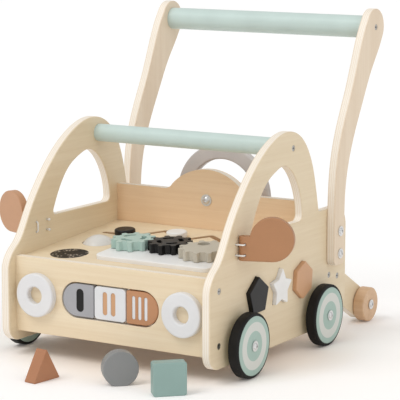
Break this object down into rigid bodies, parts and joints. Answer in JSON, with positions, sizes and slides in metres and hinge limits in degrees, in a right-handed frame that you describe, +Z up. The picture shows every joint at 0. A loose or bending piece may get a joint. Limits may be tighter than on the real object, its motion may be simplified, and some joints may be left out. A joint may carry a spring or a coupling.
{
  "type": "baby walker",
  "caption": "Wooden push walker shaped like a car, with gears, flip tiles, shape sorter, steering wheel, side mirrors and an anti-tip roller pair.",
  "frame": {"origin": "on the floor under the middle of the overall length and width", "axes": "-Y is the front with the headlights, +Y the push handle end, +X the side that shows the sorting blocks, +Z up"},
  "size_m": [0.4504, 0.5508, 0.4398],
  "materials": {
    "plywood": "clear lacquer on birch ply",
    "front_wood": "clear lacquer on pale ply",
    "back_wood": "clear lacquer on warm ply",
    "deck_wood": "clear lacquer on thin ply",
    "arm_wood": "clear lacquer on birch ply",
    "beech": "turned beech, lacquered",
    "mint_bar": "satin mint paint on beech",
    "wheel_mint": "satin mint paint with printed rings",
    "gear_mint_paint": "satin mint paint",
    "black_paint": "satin black paint",
    "grey_paint": "satin grey paint",
    "white_paint": "satin white paint",
    "terracotta_paint": "satin terracotta paint",
    "tan_paint": "satin tan paint",
    "tyre_rubber": "soft rubber",
    "bolt_steel": "zinc plated",
    "elastic_white": "braided elastic",
    "window_gloss": "glossy smoked plastic",
    "inner_plastic": "moulded cup",
    "ball_white": "moulded ball"
  },
  "bodies": {
    "walker": {"side_panel_right": "plywood", "side_panel_left": "plywood", "front_panel": "front_wood", "back_panel": "back_wood", "deck_board": "deck_wood", "hood_bar": "mint_bar", "handle_bar": "mint_bar", "handle_arm_right": "arm_wood", "handle_arm_left": "arm_wood", "tip_strut_right": "arm_wood", "tip_strut_left": "arm_wood", "headlight_ring_right": "white_paint", "headlight_ring_left": "white_paint", "tile_rod": "bolt_steel", "rattle_cup": "inner_plastic", "rattle_window": "window_gloss", "ball_cup": "inner_plastic", "gear_plate": "white_paint", "gear_posts": "bolt_steel", "steering_bolt": "bolt_steel", "steering_spacer": "grey_paint", "axle_bolts": "bolt_steel", "axle_spacers": "bolt_steel", "arm_bolts": "bolt_steel", "lock_nuts": "bolt_steel", "wood_screws": "bolt_steel", "strut_screws": "bolt_steel", "mirror_cord_right": "elastic_white", "mirror_cord_left": "elastic_white"},
    "wheel_front_right": {"wheel_hub_front_right": "wheel_mint", "tyre_front_right": "tyre_rubber"},
    "wheel_rear_right": {"wheel_hub_rear_right": "wheel_mint", "tyre_rear_right": "tyre_rubber"},
    "wheel_front_left": {"wheel_hub_front_left": "wheel_mint", "tyre_front_left": "tyre_rubber"},
    "wheel_rear_left": {"wheel_hub_rear_left": "wheel_mint", "tyre_rear_left": "tyre_rubber"},
    "roller_right": {"tip_roller_right": "beech"},
    "roller_left": {"tip_roller_left": "beech"},
    "steering": {"steering_wheel": "grey_paint"},
    "gear_large": {"gear_grey": "grey_paint"},
    "gear_middle": {"gear_black": "black_paint"},
    "gear_end": {"gear_mint": "gear_mint_paint"},
    "ball": {"roller_ball": "ball_white"},
    "tile_one": {"tile_one": "grey_paint", "tile_one_marks": "black_paint"},
    "tile_two": {"tile_two": "white_paint", "tile_two_marks": "tan_paint"},
    "tile_three": {"tile_three": "terracotta_paint", "tile_three_marks": "white_paint"},
    "mirror_right_body": {"mirror_right": "terracotta_paint"},
    "mirror_left_body": {"mirror_left": "terracotta_paint"},
    "sorter_pentagon": {"block_pentagon": "black_paint"},
    "sorter_star": {"block_star": "white_paint"},
    "sorter_hexagon": {"block_hexagon": "tan_paint"},
    "loose_triangle": {"block_triangle": "terracotta_paint"},
    "loose_disc": {"block_disc": "grey_paint"},
    "loose_square": {"block_square": "gear_mint_paint"},
    "knob_black": {"track_knob_black": "black_paint"},
    "knob_white": {"track_knob_white": "white_paint"}
  },
  "joints": [
    {"name": "wheel_front_right_spin", "type": "hinge", "parent": "walker", "child": "wheel_front_right", "pos_m": [0.172, -0.10834, 0.0414], "axis": [1, 0, 0], "continuous": true},
    {"name": "wheel_rear_right_spin", "type": "hinge", "parent": "walker", "child": "wheel_rear_right", "pos_m": [0.172, 0.09366, 0.0414], "axis": [1, 0, 0], "continuous": true},
    {"name": "wheel_front_left_spin", "type": "hinge", "parent": "walker", "child": "wheel_front_left", "pos_m": [-0.172, -0.10834, 0.0414], "axis": [1, 0, 0], "continuous": true},
    {"name": "wheel_rear_left_spin", "type": "hinge", "parent": "walker", "child": "wheel_rear_left", "pos_m": [-0.172, 0.09366, 0.0414], "axis": [1, 0, 0], "continuous": true},
    {"name": "tip_roller_right_spin", "type": "hinge", "parent": "walker", "child": "roller_right", "pos_m": [0.154, 0.25146, 0.0247], "axis": [1, 0, 0], "continuous": true},
    {"name": "tip_roller_left_spin", "type": "hinge", "parent": "walker", "child": "roller_left", "pos_m": [-0.154, 0.25146, 0.0247], "axis": [1, 0, 0], "continuous": true},
    {"name": "steering_wheel_turn", "type": "hinge", "parent": "walker", "child": "steering", "pos_m": [0, 0.11966, 0.1837], "axis": [0, 1, 0], "continuous": true},
    {"name": "gear_grey_turn", "type": "hinge", "parent": "walker", "child": "gear_large", "pos_m": [0.08846, -0.0757, 0.14644], "axis": [0, -0.0652, 0.9979], "continuous": true},
    {"name": "gear_black_turn", "type": "hinge", "parent": "walker", "child": "gear_middle", "pos_m": [0.02979, -0.06643, 0.14705], "axis": [0, -0.0652, 0.9979], "continuous": true},
    {"name": "gear_mint_turn", "type": "hinge", "parent": "walker", "child": "gear_end", "pos_m": [-0.024, -0.07113, 0.14674], "axis": [0, -0.0652, 0.9979], "continuous": true},
    {"name": "roller_ball_roll", "type": "hinge", "parent": "walker", "child": "ball", "pos_m": [-0.0945, -0.04675, 0.11877], "axis": [1, 0, 0], "continuous": true},
    {"name": "tile_one_flip", "type": "hinge", "parent": "walker", "child": "tile_one", "pos_m": [-0.0483, -0.15764, 0.0835], "axis": [1, 0, 0], "continuous": true},
    {"name": "tile_two_flip", "type": "hinge", "parent": "walker", "child": "tile_two", "pos_m": [0, -0.15764, 0.0835], "axis": [1, 0, 0], "continuous": true},
    {"name": "tile_three_flip", "type": "hinge", "parent": "walker", "child": "tile_three", "pos_m": [0.0483, -0.15764, 0.0835], "axis": [1, 0, 0], "continuous": true},
    {"name": "mirror_right_fold", "type": "hinge", "parent": "walker", "child": "mirror_right_body", "pos_m": [0.1638, -0.10934, 0.176], "axis": [0, 0, 1], "range_deg": [-25, 50], "stiffness_Nm_per_rad": 0.02, "deforming": ["mirror_cord_right"]},
    {"name": "mirror_left_fold", "type": "hinge", "parent": "walker", "child": "mirror_left_body", "pos_m": [-0.1638, -0.10934, 0.176], "axis": [0, 0, -1], "range_deg": [-25, 50], "stiffness_Nm_per_rad": 0.02, "deforming": ["mirror_cord_left"]},
    {"name": "block_pentagon_slide", "type": "slide", "parent": "walker", "child": "sorter_pentagon", "axis": [1, 0, 0], "range_m": [0, 0.04]},
    {"name": "block_star_slide", "type": "slide", "parent": "walker", "child": "sorter_star", "axis": [1, 0, 0], "range_m": [0, 0.04]},
    {"name": "block_hexagon_slide", "type": "slide", "parent": "walker", "child": "sorter_hexagon", "axis": [1, 0, 0], "range_m": [0, 0.04]},
    {"name": "block_triangle_lift", "type": "slide", "parent": "walker", "child": "loose_triangle", "axis": [0, 0, 1], "range_m": [0, 0.3]},
    {"name": "block_disc_lift", "type": "slide", "parent": "walker", "child": "loose_disc", "axis": [0, 0, 1], "range_m": [0, 0.3]},
    {"name": "block_square_lift", "type": "slide", "parent": "walker", "child": "loose_square", "axis": [0, 0, 1], "range_m": [0, 0.3]},
    {"name": "track_knob_black_slide", "type": "slide", "parent": "walker", "child": "knob_black", "axis": [1, 0, 0], "range_m": [-0.03, 0.014]},
    {"name": "track_knob_white_slide", "type": "slide", "parent": "walker", "child": "knob_white", "axis": [0.808, -0.5879, -0.0384], "range_m": [-0.036, 0.016]}
  ],
  "couplings": [
    {"joint": "gear_black_turn", "follows": "gear_grey_turn", "ratio": -1.2},
    {"joint": "gear_mint_turn", "follows": "gear_grey_turn", "ratio": 1.2}
  ]
}
